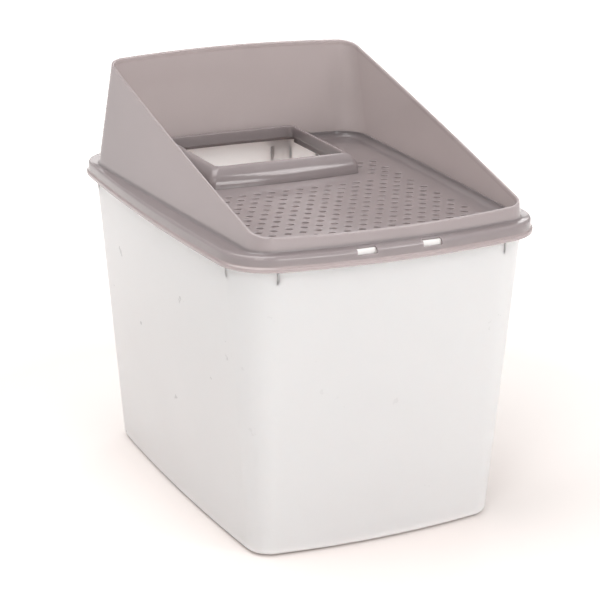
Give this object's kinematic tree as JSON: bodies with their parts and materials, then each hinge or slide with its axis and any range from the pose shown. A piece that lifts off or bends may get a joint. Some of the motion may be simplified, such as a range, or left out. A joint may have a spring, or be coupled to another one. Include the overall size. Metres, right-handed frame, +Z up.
{
  "type": "cat litter box with hood",
  "caption": "Tall top-entry litter box: bowed, tapered tub with a hinged hood, slanted rim, perforated step and raised collar round the entry opening.",
  "frame": {"origin": "centre of the tub's footprint, on the floor plane", "axes": "+X to the right seen from the front, +Y to the rear hinges, +Z up"},
  "size_m": [0.39, 0.5275, 0.4861],
  "materials": {
    "white_plastic": "satin, slightly translucent",
    "taupe_plastic": "glossy"
  },
  "bodies": {
    "base": {"tub": "white_plastic", "front_latch_lug_left": "white_plastic", "front_latch_lug_right": "white_plastic", "hinge_bracket_left": "white_plastic", "hinge_bracket_right": "white_plastic"},
    "lid": {"hood_shell": "taupe_plastic", "hinge_hook_left": "taupe_plastic", "hinge_hook_right": "taupe_plastic", "step_deck": "taupe_plastic", "entry_collar": "taupe_plastic"}
  },
  "joints": [
    {"name": "hood_tilt", "type": "hinge", "parent": "base", "child": "lid", "pos_m": [0, 0.26255, 0.3362], "axis": [-1, 0, 0], "range_deg": [0, 95]}
  ]
}
